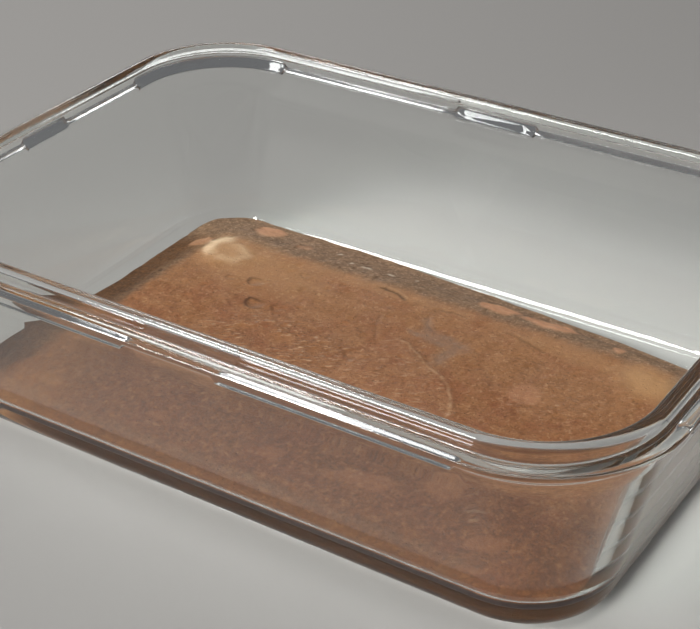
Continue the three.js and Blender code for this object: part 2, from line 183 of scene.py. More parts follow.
# ---- looks ----
PALETTE = {                      # colours as sRGB
    "skin dark": "784a2a", "skin light": "b07b51", "skin red": "8e5536", "skin grain": "5c3822",
    "skin speckle": "cda078", "skin hole": "4a2d1c", "lump light": "cfa27a", "lump dark": "644330",
    "crumb dark": "5c4637", "crumb light": "92745c", "crumb speckle": "b99c82", "crumb hole": "3f3026",
    # the colour multiplied over the left of the top is painted shade
    # the pale skin's colour is also a painted highlight
    "pale skin and highlight": "c19567", "left_shade": "b29c82", "orange dark": "bf8660", "orange light": "dfaa84",
    # the brightest crust's colour is partly a painted highlight
    # the colour of the hollows and grooves is painted shade; the moist skin's colour also paints the bubbles'
    # floors as painted light
    # the wrinkle crests' colour is a painted highlight
    "wet skin": "8a7261", "glow": "efd0aa", "pore": "3d2c20", "pit": "3f291c", "crest_highlight": "d8b08c",
    # the colour multiplied over the front of the top is painted shade
    # the raised edges' colour is a painted highlight
    "lip": "d0a67e", "fleck": "d9c7b2", "front": "b7a38c", "side dark": "46342e", "side light": "5a4845",
    # the underside's colours are lightened as painted light, for light the glass carries under the cake
    "under dark": "d99a66", "under light": "e8b078", "floor": "a9a6a2",
}
NOISES = {                       # size of the bumps in millimetres, detail, roughness, distortion,
    "mottle": (2.2, 7, 0.75, 0, 0, 1),                     # turn in degrees, stretch
    "patches": (6, 4, 0.65, 0.6, 0, 1),
    "grain": (0.5, 4, 0.75, 0, 0, 1),
    "speckle": (0.6, 4, 0.7, 0.8, 0, 1),
    "lumps": (0.9, 4, 0.7, 0, 0, 1),
    "crumb": (0.7, 5, 0.75, 0, 0, 1.6),
    "crumb speckle": (0.42, 3, 0.7, 0, 0, 1),
    "sheen": (3.5, 4, 0.6, 0, 0, 1),
    "bumps": (0.8, 5, 0.7, 0, 0, 1),
    "fine bumps": (0.25, 3, 0.6, 0, 0, 1),
    "strands": (0.8, 5, 0.7, 0, 0, 2.4),
    "wrinkles": (0.5, 3, 0.5, 0.4, 32, 2.8),
}
SKIN_HOLES, CRUMB_HOLES = (2.1, 0.13), (1.5, 0.16)         # distance apart, and radius as a share of it
GRAIN_BUMP, STRAND_BUMP, WRINKLE_BUMP = (0.8, 0.26), (0.7, 0.35), (1, 0.45)    # strength, and depth
CAKE_SPECULAR = 0.16
GLASS_TINT = (0.955, 0.975, 0.965, 1)
GLASS_SHADOW = (0.93, 0.95, 0.94, 1)
GLASS_IOR = 1.47
LIGHTS = (                       # name, place and size in metres, and power in watts
    ("front_left", (-0.62, -1.04, 0.86), (0.52, 0.3), 15.4),
    ("overhead", (-0.85, -0.3, 1.5), (0.25, 0.25), 6.5),
    ("back_left", (-0.75, 0.95, 0.75), (0.3, 0.25), 1.8),
)
LIT_PLACE = (0, 0, 0.02)         # where every light is aimed
WORLD_COLOUR, WORLD_STRENGTH = (0.95, 0.96, 1.0, 1), 0.14
GLASS_BOUNCES, CLEAR_BOUNCES = 40, 24
FLOOR_HALF, FLOOR_LEVEL, FLOOR_ROUGHNESS = 4000.0, -0.2, 0.7    # the first two in millimetres
MIX_COLOUR_INPUTS, MIX_COLOUR_OUTPUT = (6, 7), 2     # sockets of a mix node set to colours

# ---- photograph's camera ----
PHOTO_SIZE = (700, 629)
FOCAL_PIXELS = 1702.66
CAMERA_AT = (199.4, -302.7, 245.2)
CAMERA_TURN = 33.64              # degrees left of +Y
CAMERA_PITCH = 31.32             # degrees down
CAMERA_ROLL = -0.906
SENSOR_WIDTH = 36.0              # in millimetres, as Blender has it
CLIP_START = 0.01                # in metres


# ---------------------------------------------------------------- numbers

PLACE_FACTORS = (374761393, 668265263, 974634777)      # large odd numbers, as integer hashes use
STIR_STEPS, LAST_SHIFT = ((13, 1274126177), (15, 2246822519)), 16
LOW_BITS, LATTICE_VALUES = 0xFFFFFFFF, 0x1000000
BUBBLE_RADIUS, BUBBLE_SPREAD = 0.18, 0.32              # least radius and its range, as shares of the spacing
NO_BUBBLE, FAR_AWAY, TINY = 9.0, 1e9, 1e-6


def smooth(start, end, value):
    """0 before start, 1 after end, and a smooth step between; start may be the larger."""
    t = np.clip((np.asarray(value, float) - start) / (end - start), 0, 1)
    return t * t * (3 - 2 * t)


def between(low, high, share):
    return low + (high - low) * share


def lattice(ix, iy, seed):
    """A fixed pseudo-random number between 0 and 1 for each whole-number place; each use has its own seed."""
    along_x, along_y, apart = PLACE_FACTORS
    h = (ix.astype(np.int64) * along_x + iy.astype(np.int64) * along_y + seed * apart) & LOW_BITS
    for shift, factor in STIR_STEPS:
        h = ((h ^ (h >> shift)) * factor) & LOW_BITS
    return ((h ^ (h >> LAST_SHIFT)) & (LATTICE_VALUES - 1)) / LATTICE_VALUES


def noise(x, y, size, seed):
    """Smooth value noise between -1 and 1, with bumps of the given size."""
    gx, gy = x / size, y / size
    ix, iy = np.floor(gx), np.floor(gy)
    fx, fy = gx - ix, gy - iy
    ux, uy = fx * fx * (3 - 2 * fx), fy * fy * (3 - 2 * fy)
    low = lattice(ix, iy, seed) * (1 - ux) + lattice(ix + 1, iy, seed) * ux
    high = lattice(ix, iy + 1, seed) * (1 - ux) + lattice(ix + 1, iy + 1, seed) * ux
    return 2 * (low * (1 - uy) + high * uy) - 1


def layered(x, y, size, seed):
    """Noise at several sizes, each half the one before."""
    total, weight = 0, 0
    for k in range(NOISE_LAYERS):
        turn = 0.7 * k + 0.3
        tx = x * math.cos(turn) - y * math.sin(turn)
        ty = x * math.sin(turn) + y * math.cos(turn)
        total = total + noise(tx, ty, size / 2 ** k, seed + k) / 2 ** k
        weight += 1 / 2 ** k
    return total / weight


def bubbles(x, y, size, seed, share):
    """Distance to the nearest of a share of scattered points, in units of each point's own radius."""
    gx, gy = np.floor(x / size), np.floor(y / size)
    best = np.full(np.shape(x), NO_BUBBLE)
    for dx in (-1, 0, 1):
        for dy in (-1, 0, 1):
            cx, cy = gx + dx, gy + dy
            px = (cx + lattice(cx, cy, seed)) * size
            py = (cy + lattice(cx, cy, seed + 7)) * size
            radius = size * (BUBBLE_RADIUS + BUBBLE_SPREAD * lattice(cx, cy, seed + 13))
            there = lattice(cx, cy, seed + 19) < share
            reach = np.hypot(x - px, y - py) / radius
            best = np.where(there, np.minimum(best, reach), best)
    return best


# ---------------------------------------------------------------- meshes

def mesh_object(name, points, faces, sharp_angle=None):
    """A smooth-shaded mesh object from points in millimetres."""
    mesh = bpy.data.meshes.new(name)
    mesh.from_pydata((np.asarray(points) * MM).tolist(), [], faces)
    mesh.update()
    mesh.shade_smooth()
    if sharp_angle:
        mesh.set_sharp_from_angle(angle=math.radians(sharp_angle))
    thing = bpy.data.objects.new(name, mesh)
    bpy.context.scene.collection.objects.link(thing)
    return thing


# ---------------------------------------------------------------- dish

LONG_STRAIGHT = LIP_HALF_LENGTH - LIP_CORNER_RADIUS
SHORT_STRAIGHT = LIP_HALF_WIDTH - LIP_CORNER_RADIUS
CORNER_SLOPE = (LIP_CORNER_RADIUS - BASE_CORNER_RADIUS) / BASE_INSET


def side_stations(seat, half_length):
    """Places along one straight side, closer together on the ramps of the clip seats."""
    places = set(np.round(np.arange(0, half_length, STATION_SPACING), 3))
    for at in seat:
        places.update(np.round(np.linspace(at - SEAT_RAMP / 2, at + SEAT_RAMP / 2, RAMP_STEPS), 3))
    half = [p / half_length for p in sorted(places) if p > 0]
    return [-share for share in reversed(half)] + [0.0] + half


def walk_stations():
    """Stations round the dish, anticlockwise: a point of the straight core, and an angle."""
    sides = (
        (side_stations(SHORT_SEAT, SHORT_STRAIGHT), lambda t: (1, t)),
        (side_stations(LONG_SEAT, LONG_STRAIGHT), lambda t: (-t, 1)),
        (side_stations(SHORT_SEAT, SHORT_STRAIGHT), lambda t: (-1, -t)),
        (side_stations(LONG_SEAT, LONG_STRAIGHT), lambda t: (t, -1)),
    )
    core, angles = [], []
    for number, (shares, at) in enumerate(sides):
        core += [at(t) for t in shares]
        angles += [90.0 * number] * len(shares)
        core += [at(1)] * (CORNER_STEPS + 1)
        angles += [90.0 * (number + k / CORNER_STEPS) for k in range(CORNER_STEPS + 1)]
    return np.array(core, float), np.radians(angles)


CORE, ANGLE = walk_stations()


def ring(half_length, half_width, radius, z):
    """A rounded rectangle's points at a height, one for each station."""
    x = CORE[:, 0] * (half_length - radius) + radius * np.cos(ANGLE)
    y = CORE[:, 1] * (half_width - radius) + radius * np.sin(ANGLE)
    return np.stack([x, y, np.broadcast_to(z, x.shape)], 1)


def dish_ring(inset, offset, z):
    """A ring round the dish; the inset also narrows the corners, and the offset keeps them parallel."""
    return ring(
        LIP_HALF_LENGTH - inset + offset,
        LIP_HALF_WIDTH - inset + offset,
        LIP_CORNER_RADIUS - CORNER_SLOPE * inset + offset,
        z,
    )


def down_wall(z):
    """0 at the top of the leaning wall, 1 where it reaches the round of the foot."""
    top = HEIGHT - THIN_ROOT_DROP
    return np.maximum(0, (top - z) / (top - BASE_EDGE_RADIUS))


def wall_inset(z):
    return BASE_INSET * down_wall(z)


def wall_thickness(z):
    return LIP_WALL + (FOOT_WALL - LIP_WALL) * down_wall(z)


def seat_share(points):
    """1 on a clip seat, 0 between seats, and a smooth ramp at each end."""
    x, y = np.abs(points[:, 0]), np.abs(points[:, 1])
    on_long = (y > LIP_HALF_WIDTH - SLACK) & (x < LONG_STRAIGHT + SLACK)
    on_short = (x > LIP_HALF_LENGTH - SLACK) & (y < SHORT_STRAIGHT + SLACK)
    share = np.zeros(len(points))
    for here, along, seat in ((on_long, x, LONG_SEAT), (on_short, y, SHORT_SEAT)):
        rise = smooth(seat[0] - SEAT_RAMP / 2, seat[0] + SEAT_RAMP / 2, along)
        fall = smooth(seat[1] + SEAT_RAMP / 2, seat[1] - SEAT_RAMP / 2, along)
        share = np.where(here, rise * fall, share)
    return share


def flange_ring(offset, thin_drop, seat_drop):
    """A ring of the flange's underside, whose drop from the top differs on the clip seats."""
    points = dish_ring(0, offset, 0)
    share = seat_share(points)
    points[:, 2] = HEIGHT - (thin_drop * (1 - share) + seat_drop * share)
    return points


def arc(start, end, steps):
    """Angles in radians from one in degrees to another."""
    return np.radians(np.linspace(start, end, steps + 1))


def loft(name, rings, first, last, sharp_angle):
    """One closed mesh through a stack of rings, ended by a point at each end."""
    count = len(CORE)
    points = np.concatenate([*rings, [first, last]])
    begin, end = len(rings) * count, len(rings) * count + 1
    nxt = [(k + 1) % count for k in range(count)]
    faces = [(begin, nxt[k], k) for k in range(count)]
    for row in range(len(rings) - 1):
        low, high = row * count, (row + 1) * count
        faces += [(low + k, low + nxt[k], high + nxt[k], high + k) for k in range(count)]
    top = (len(rings) - 1) * count
    faces += [(top + k, top + nxt[k], end) for k in range(count)]
    return mesh_object(name, points, faces, sharp_angle)


def fillet_inset(height):
    """How far the round above the floor stands in from the line of the wall."""
    up = np.clip(height / INNER_FILLET, 0, 1)
    return INNER_FILLET * (1 - np.sqrt(up * (2 - up)))


def inside_ring(z):
    """The dish's inner surface at a height: the leaning wall, or the round down to the floor."""
    return dish_ring(wall_inset(z), -wall_thickness(z) - fillet_inset(z - FLOOR), z)


def base_rings():
    """The flat underside and the round up to the wall."""
    edge = -BASE_EDGE_RADIUS
    rings = [dish_ring(BASE_INSET, edge - FLAT_REACH, 0), dish_ring(BASE_INSET, edge - HELD, 0)]
    for a in arc(90, 0, FOOT_STEPS):
        out, up = edge * (1 - math.cos(a)), BASE_EDGE_RADIUS * (1 - math.sin(a))
        rings.append(dish_ring(BASE_INSET, out, up))
    return rings


def wall_rings():
    """The leaning wall's outer face."""
    top = HEIGHT - THIN_ROOT_DROP - BELOW_FLANGE
    heights = np.linspace(BASE_EDGE_RADIUS, top, WALL_STEPS)[1:]
    return [dish_ring(wall_inset(z), 0, z) for z in heights]


def flange_under_rings():
    """The flange's underside: its root, its slope or clip seat, and the round of its lower edge."""
    out, up = ROOT_BEND
    near_root = SEAT_ROOT_DROP - up * (SEAT_ROOT_DROP - SEAT_EDGE_DROP)
    before, lower = EDGE_BEND
    rings = [
        flange_ring(0, THIN_ROOT_DROP, SEAT_ROOT_DROP),
        flange_ring(out * LIP_FILLET, THIN_ROOT_DROP - up * LIP_FILLET, near_root),
        flange_ring(LIP_FILLET, THIN_ROOT_DROP - LIP_FILLET, SEAT_EDGE_DROP),
        flange_ring(FLANGE_REACH - FLANGE_ROUND - before, THIN_EDGE_DROP + lower, SEAT_EDGE_DROP),
    ]
    for a in arc(0, 90, EDGE_STEPS):
        out = FLANGE_REACH - FLANGE_ROUND * (1 - math.sin(a))
        rise = FLANGE_ROUND * (1 - math.cos(a))
        rings.append(flange_ring(out, THIN_EDGE_DROP - rise, SEAT_EDGE_DROP - rise))
    return rings


def flange_top_rings():
    """The round of the flange's upper edge, its flat top, and the fillet up to the lip."""
    ledge, edge = HEIGHT - LEDGE_DROP, FLANGE_ROUND / 2
    rings = []
    for a in arc(0, 90, EDGE_STEPS):
        out = FLANGE_REACH - FLANGE_ROUND * (1 - math.cos(a))
        rings.append(dish_ring(0, out, ledge - edge * (1 - math.sin(a))))
    rings.append(dish_ring(0, FLANGE_REACH - FLANGE_ROUND - HELD, ledge))
    rings.append(dish_ring(0, LIP_FILLET + HELD, ledge))
    for a in arc(0, 90, EDGE_STEPS):
        out, up = LIP_FILLET * (1 - math.sin(a)), LIP_FILLET * (1 - math.cos(a))
        rings.append(dish_ring(0, out, ledge + up))
    return rings


def lip_rings():
    """The lip's round top, from its outer face to its inner one."""
    half = LIP_WALL / 2
    return [
        dish_ring(0, half * (math.cos(a) - 1), HEIGHT - half * (1 - math.sin(a)))
        for a in arc(0, 180, LIP_STEPS)
    ]


def inner_rings():
    """The inside of the wall, the round above the floor, and the floor."""
    heights = [FLOOR + INNER_FILLET * (1 - math.sin(a)) for a in arc(90, 0, FOOT_STEPS)]
    heights += list(np.linspace(FLOOR + INNER_FILLET, HEIGHT - THIN_ROOT_DROP, WALL_STEPS)[1:])
    rings = [inside_ring(z) for z in reversed(heights)]
    foot = -wall_thickness(FLOOR) - INNER_FILLET
    return rings + [dish_ring(wall_inset(FLOOR), foot - reach, FLOOR) for reach in (HELD, FLAT_REACH)]


def make_dish():
    outside = [*base_rings(), *wall_rings(), *flange_under_rings(), *flange_top_rings()]
    rings = [*outside, *lip_rings(), *inner_rings()]
    return loft("glass_dish", rings, (0, 0, 0), (0, 0, FLOOR), SHARP_ANGLE)


# ---------------------------------------------------------------- cake

LEVEL = FLOOR + NEAR_EDGE / 2
OUTLINE = (
    LIP_HALF_LENGTH - wall_inset(LEVEL) - wall_thickness(LEVEL),
    LIP_HALF_WIDTH - wall_inset(LEVEL) - wall_thickness(LEVEL),
    LIP_CORNER_RADIUS - CORNER_SLOPE * wall_inset(LEVEL) - wall_thickness(LEVEL),
)


def from_outline(x, y):
    """Distance in from the outline, a rounded rectangle, and the direction straight out."""
    half_length, half_width, radius = OUTLINE
    qx, qy = np.abs(x) - (half_length - radius), np.abs(y) - (half_width - radius)
    ox, oy = np.maximum(qx, 0), np.maximum(qy, 0)
    length = np.hypot(ox, oy)
    inside = radius - length - np.minimum(np.maximum(qx, qy), 0)
    nx = np.where(length > TINY, ox / np.maximum(length, TINY), qx > qy)
    ny = np.where(length > TINY, oy / np.maximum(length, TINY), qx <= qy)
    return inside, np.sign(x) * nx, np.sign(y) * ny


def edge_thickness(x, y):
    """How thick the cake is where it ends, on the side that a place belongs to."""
    side = between(LEFT_EDGE, RIGHT_EDGE, smooth(*LEFT_TO_RIGHT, x))
    short = between(NEAR_EDGE, side, smooth(*NEAR_TO_SIDE, y))
    far = between(*FAR_EDGE, smooth(*FAR_LEFT_TO_RIGHT, x))
    plain = between(short, far, smooth(*SIDE_TO_FAR, y))
    return plain + EDGE_WAVE * smooth(0.5, 1.5, plain) * layered(x, y, 7, 5)


def drawn_away(x, y):
    """How far the edge has drawn away from the wall."""
    return SHRINKAGE * smooth(*DRAWN_X, x) * smooth(*DRAWN_Y, y)


def side_offset(thickness):
    """How far the side of the cake stands out from the outline at a thickness above the floor."""
    lean = (BASE_INSET + FOOT_WALL - LIP_WALL) / (HEIGHT - THIN_ROOT_DROP - BASE_EDGE_RADIUS)
    return lean * (FLOOR + thickness - LEVEL) - fillet_inset(thickness) + SINK


# ---------------------------------------------------------------- cake: the marks on its top

def wobbled(x, y, size, amount, seed):
    """The same places pushed about, so that a mark made from them has an uneven outline."""
    return x + amount * layered(x, y, size, seed), y + amount * layered(x, y, size, seed + 40)


def blob(x, y, cx, cy, rx, ry, turn, soft):
    """1 inside an ellipse turned by some degrees, 0 outside it."""
    c, s = math.cos(math.radians(turn)), math.sin(math.radians(turn))
    dx, dy = x - cx, y - cy
    reach = np.hypot((dx * c + dy * s) / rx, (dy * c - dx * s) / ry)
    return smooth(1 + soft, 1 - soft, reach)


def to_path(x, y, path):
    """Distance to a path of places, the signed distance across it, and the share of its length."""
    nearest = np.full(np.shape(x), FAR_AWAY)
    across, along = np.zeros(np.shape(x)), np.zeros(np.shape(x))
    lengths = [math.dist(path[k], path[k + 1]) for k in range(len(path) - 1)]
    done = 0
    for (ax, ay), (bx, by), length in zip(path, path[1:], lengths):
        dx, dy = bx - ax, by - ay
        share = np.clip(((x - ax) * dx + (y - ay) * dy) / length ** 2, 0, 1)
        distance = np.hypot(x - ax - share * dx, y - ay - share * dy)
        closer = distance < nearest
        nearest = np.where(closer, distance, nearest)
        across = np.where(closer, ((y - ay) * dx - (x - ax) * dy) / length, across)
        along = np.where(closer, (done + share * length) / sum(lengths), along)
        done += length
    return nearest, across, along


def crease(x, y, path):
    """A groove with a raised lip on its left side, fading towards its ends."""
    wx, wy = wobbled(x, y, 4, 0.8, 71)
    nearest, across, along = to_path(wx, wy, path)
    ends = smooth(0, 0.2, along) * smooth(1, 0.8, along)
    groove = np.exp(-(nearest / CREASE_WIDTH) ** 2)
    lip = np.exp(-((across - CREASE_LIP_AT) / CREASE_WIDTH) ** 2) * (nearest < CREASE_REACH)
    return groove * ends, lip * ends


def spots(x, y, marks):
    """At each place the largest share of a list of ellipses."""
    total = np.zeros(np.shape(x))
    for cx, cy, rx, ry, turn, share, soft in marks:
        total = np.maximum(total, share * blob(x, y, cx, cy, rx, ry, turn, soft))
    return total


def flap(x, y):
    """The piece of folded skin: its body, its edge, and the part of the edge that is paled as a painted
    highlight.
    """
    wx, wy = wobbled(x, y, 2.4, 0.45, 95)
    nearest, across, along = to_path(wx, wy, FLAP)
    inside = np.where(across < 0, nearest, -nearest)
    fade = smooth(*FLAP_END_Y, y)
    body = smooth(*FLAP_SLOPE, inside) * fade
    ridge = np.exp(-((inside - FLAP_RIDGE_AT) / FLAP_RIDGE_WIDTH) ** 2) * fade
    broken = between(0.35, 1, smooth(-0.2, 0.3, noise(wx, wy, 1.1, 97)))
    return body, ridge, ridge * smooth(*FLAP_PALE_FROM, along) * broken


def border_marks(x, y, wx, wy, inside, margin):
    """The porous border that slopes down to the glass, and the unevenness of the whole top."""
    reach = between(*BORDER_REACH, smooth(*BORDER_WIDENS_Y, y)) - 0.1 * layered(x, y, 4, 17)
    border = smooth(BORDER_SOFTNESS, -BORDER_SOFTNESS, inside / margin - reach)
    border = border * between(1, NEAR_BORDER, smooth(*NEAR_BORDER_Y, y))
    bare = np.maximum(smooth(*BARE_EDGE_X, x), smooth(*BARE_X, x) * smooth(*BARE_Y, y))
    border = border * between(1, RIGHT_BORDER, bare)
    middle = smooth(0, 1, inside / margin)
    height = BORDER_LUMP * layered(x, y, 6, 21) * border + MIDDLE_LUMP * layered(x, y, 24, 25) * middle
    large = smooth(1.05, 0.45, bubbles(wx, wy, 3.1, 31, 0.75))
    small = smooth(1.05, 0.35, bubbles(x, y, 1.35, 37, 0.7))
    height = height - LARGE_PORE * border * large - SMALL_PORE * border * small
    few = smooth(0.9, 0.4, bubbles(x, y, 3.4, 43, 0.22)) * (1 - border)
    height = height - HOLE * few + GRAIN * layered(x, y, 1.5, 47)
    for cx, cy, radius, rise in SWELLINGS:
        swelling = smooth(radius, radius / 4, np.hypot(x - cx, y - cy))
        height = height + rise * swelling * smooth(0, SWELLING_START, inside)
    return height, {
        "border": border,
        "pores": border * np.maximum(0.75 * large, 0.5 * small),
        # painted shade over the left of the top, fading out towards the far side
        "left_shade": smooth(*LEFT_SHADE_X, wx) * between(1, 0.15, smooth(*LEFT_SHADE_END_Y, wy)),
    }


def pit_marks(x, y):
    """Burst bubbles: height, the painted shade under their left edges, and their floors, moist and paler
    where the wall faces the light: painted light.
    """
    height, shade, floor = (np.zeros(np.shape(x)) for _ in range(3))
    for number, (cx, cy, radius, share) in enumerate(PITS):
        px, py = wobbled(x, y, 2.6, 0.5, 53 + number)
        dx, dy = (px - cx) / radius, (py - cy) / radius
        reach = np.maximum(np.hypot(dx, dy), 0.62 + 1.1 * dy)
        slant = smooth(-0.2, 0.8, dx * 0.9 - dy * 0.45)
        height = height - share * between(*PIT_DEPTHS, slant) * smooth(1.0, 0.62, reach)
        height = height + PIT_RIM * share * np.exp(-((reach - 1.2) / 0.16) ** 2)
        # painted shade on the side away from the light
        crescent = np.exp(-((reach - 0.98) / 0.13) ** 2) * (1 - slant)
        shade = np.maximum(shade, share * crescent)
        # paler floors where the wall faces the light: painted light
        floor = np.maximum(floor, 0.8 * share * smooth(1.0, 0.7, reach) * slant)
    return height, shade, floor


def crease_marks(x, y):
    """The folds of the skin: height, the painted shade of their grooves, and the painted highlight on their
    raised edges.
    """
    height, grooves, lips = (np.zeros(np.shape(x)) for _ in range(3))
    for path, share in CREASES:
        groove, lip = crease(x, y, path)
        height = height - share * (CREASE_DEPTH * groove - CREASE_LIP * lip)
        grooves = np.maximum(grooves, share * groove)
        lips = np.maximum(lips, share * lip)
    return height, grooves, lips


def ripple_marks(x, y, wx, wy):
    """Wrinkled skin: height and share."""
    zone = spots(wx, wy, [RIPPLED]) * smooth(-0.6, 0.1, noise(x, y, 4.5, 107))
    zone = np.maximum(zone, spots(wx, wy, RIPPLED_TOO))
    ripples = noise(0.8 * x + 0.6 * y, 0.8 * y - 0.6 * x, 1.5, 61) * noise(x, y, 3.1, 63)
    return RIPPLE_RISE * zone * ripples, zone


def wet_marks(x, y, wx, wy):
    """The moist patch with three arms."""
    wet = spots(wx, wy, [WET_SPOT])
    for path, width in WET_ARMS:
        nearest, _, along = to_path(wx, wy, path)
        wet = np.maximum(wet, smooth(width * 1.6, width * 0.3, nearest) * smooth(1.05, 0.6, along))
    return wet * between(0.7, 1, smooth(-0.3, 0.4, noise(x, y, 1.6, 105)))


def pale_and_highlight_marks(x, y, wx, wy):
    """Paler, drier skin, and painted highlight: on the swellings at the corners, and growing towards the far
    side.
    """
    pale = np.maximum(spots(wx, wy, PALE_AND_HIGHLIGHT_SPOTS), spots(x, y, [PALE_STRIP]))
    return np.maximum(pale, 0.12 * smooth(0, 26, wy))


def glow_marks(x, y):
    """The brightest crust, an arc with a fainter ring inside it, paled further as a painted highlight: its
    body, and its uneven colour.
    """
    gx, gy = wobbled(x, y, 3.5, 1.3, 101)
    outer, _, along = to_path(gx, gy, GLOW_OUTER)
    inner, _, around = to_path(gx, gy, GLOW_INNER)
    crust = np.exp(-(outer / GLOW_WIDTHS[0]) ** 2) * smooth(1.1, 0.6, along)
    ring_share = GLOW_INNER_SHARE * np.exp(-(inner / GLOW_WIDTHS[1]) ** 2) * smooth(-0.1, 0.3, around)
    crust = np.maximum(crust, ring_share)
    return crust, crust * between(1, 0.75, noise(x, y, 1.2, 103) ** 2)


def cake_marks(x, y, inside, margin):
    """All the marks of the top at each place: height in millimetres, and shares for the material."""
    wx, wy = wobbled(x, y, 6, 1.6, 11)
    height, marks = border_marks(x, y, wx, wy, inside, margin)
    pit_height, pit_shade, lit_pit_floor = pit_marks(x, y)
    crease_height, grooves, lips = crease_marks(x, y)
    ripple_height, rippled = ripple_marks(x, y, wx, wy)
    body, ridge, ridge_highlight = flap(x, y)
    raised = FLAP_RISE * body * smooth(*FLAP_TOP_FADE, np.hypot(x - FLAP_TOP[0], y - FLAP_TOP[1]))
    wet = wet_marks(x, y, wx, wy)
    crust, glow = glow_marks(x, y)
    blotch = spots(wx, wy, BLOTCHES)
    dots = smooth(0.62, 0.3, bubbles(x, y, 2.7, 83, 0.3)) * np.maximum(ridge_highlight, 0.55 * rippled)
    flecks = np.maximum(spots(wx, wy, FLECKS), 0.6 * dots)
    height = height + pit_height + crease_height + ripple_height + raised + FLAP_RIDGE * ridge
    height = height - WET_DROP * wet + CRUST_RISE * crust + BLOTCH_RISE * blotch + FLECK_RISE * flecks
    marks.update(
        # pale: paler skin, and painted highlight on the corners' swellings and the far side
        # the bubbles' floors join the moist skin here, paled as painted light
        pale=pale_and_highlight_marks(x, y, wx, wy), wet=np.maximum(wet, 0.9 * lit_pit_floor),
        # painted shade in the bubbles' hollows and the creases' grooves
        pits=np.maximum(pit_shade, grooves), rippled=np.maximum(rippled, 0.45 * body),
        # painted highlight along the creases' raised edges and the flap's edge
        lips=np.clip(0.35 * lips + 0.8 * ridge_highlight, 0, 1), orange=np.maximum(blotch, 0.05 * body),
        # the front: coarser lumps, and painted shade over the part seen through the near wall
        glow=glow, flecks=flecks, front=smooth(*FRONT_LUMPS_AND_SHADE_Y, wy + 5 * noise(x, y, 9, 111)),
    )
    return height, marks


# ---------------------------------------------------------------- cake: its body

def cake_grid():
    """Places of the top's vertices on the plain outline: rows across the dish, columns along it."""
    half_length, half_width, radius = OUTLINE
    straight = half_width - radius
    turns = np.radians(np.linspace(0, 90, CAKE_CORNER_ROWS + 1)[1:])
    corner = straight + radius * np.sin(turns)
    rows = np.concatenate([-corner[::-1], np.linspace(-straight, straight, CAKE_ROWS + 1), corner])
    over = np.maximum(np.abs(rows) - straight, 0)
    reach = half_length - radius + np.sqrt(np.maximum(radius ** 2 - over ** 2, 0))
    share = np.linspace(-1, 1, CAKE_COLUMNS + 1)
    x = share[None, :] * reach[:, None]
    return x, np.repeat(rows[:, None], CAKE_COLUMNS + 1, 1)


def grid_rim(number):
    """The grid's outer points, anticlockwise."""
    return np.concatenate([number[0, :-1], number[:-1, -1], number[-1, :0:-1], number[:0:-1, 0]])


def cake_top():
    """The top's places and thickness, its marks, and what the sides need to follow its edge."""
    x, y = cake_grid()
    inside, nx, ny = from_outline(x, y)
    edge = edge_thickness(x, y)
    out = (side_offset(edge) - drawn_away(x, y)) * smooth(EDGE_PULL, 0, inside)
    px, py = x + nx * out, y + ny * out
    margin = between(MARGIN, NEAR_MARGIN, smooth(*MARGIN_TURN, -ny))
    height, marks = cake_marks(px, py, inside, margin)
    thick = between(edge, MIDDLE, smooth(0, 1, inside / margin)) + height * smooth(0, RELIEF_START, inside)
    return px, py, thick, marks, (edge, nx, ny, out)


def store_marks(cake, marks, top_count, rim_count):
    """Writes each mark to the mesh: the top's points, then the rings of the side and the last point."""
    height = np.repeat(1 - np.arange(1, SIDE_STEPS + 1) / SIDE_STEPS, rim_count)
    # the lower side and the underside get a colour lightened as painted light
    side_marks = {"under": smooth(*UNDER_FADE, height), "band": smooth(*BAND_FADE, height)}
    for name in (*marks, *side_marks):
        top = marks.get(name, np.zeros(top_count)).reshape(-1)
        side = side_marks.get(name, np.zeros(height.shape))
        layer = cake.data.attributes.new(name, "FLOAT", "POINT")
        values = np.concatenate([top, side, side[-1:]])
        layer.data.foreach_set("value", np.clip(values, 0, 1).astype(np.float32))


def make_cake():
    """The cake's closed mesh: its top, sides that follow the glass, and the underside as a fan."""
    x, y, thick, marks, (edge, nx, ny, out) = cake_top()
    points = [np.stack([x, y, FLOOR + thick], -1).reshape(-1, 3)]
    number = np.arange(x.size).reshape(x.shape)
    corners = number[:-1, :-1], number[:-1, 1:], number[1:, 1:], number[1:, :-1]
    faces = np.stack(corners, -1).reshape(-1, 4)
    rim = grid_rim(number)
    edge, nx, ny, out, rx, ry = (a.reshape(-1)[rim] for a in (edge, nx, ny, out, x, y))
    above, start = rim, x.size
    follow = np.arange(1, len(rim) + 1) % len(rim)
    sides = []
    for step in range(1, SIDE_STEPS + 1):
        share = (1 - step / SIDE_STEPS) ** SIDE_SPACING
        move = np.minimum(side_offset(edge * share), out) - out
        z = FLOOR + edge * share - SINK * (1 - share)
        points.append(np.column_stack([rx + nx * move, ry + ny * move, z]))
        below = start + np.arange(len(rim))
        sides.append(np.stack([above, below, below[follow], above[follow]], -1))
        above, start = below, start + len(rim)
    points.append(np.array([[0, 0, FLOOR - SINK]]))
    fan = [(int(above[k]), int(start), int(above[follow[k]])) for k in range(len(rim))]
    quads = np.concatenate([faces, *sides]).tolist()
    cake = mesh_object("cake_body", np.concatenate(points), quads + fan)
    store_marks(cake, marks, x.size, len(rim))
    return cake


# ---------------------------------------------------------------- materials

def linear(hex_colour):
    """An sRGB colour, given in hex digits, as linear RGB with alpha."""
    parts = [int(hex_colour[k:k + 2], 16) / 255 for k in (0, 2, 4)]
    return [c / 12.92 if c <= 0.04045 else ((c + 0.055) / 1.055) ** 2.4 for c in parts] + [1.0]


def new_material(name):
    material = bpy.data.materials.new(name)
    material.use_nodes = True
    tree = material.node_tree
    tree.nodes.clear()
    return material, tree


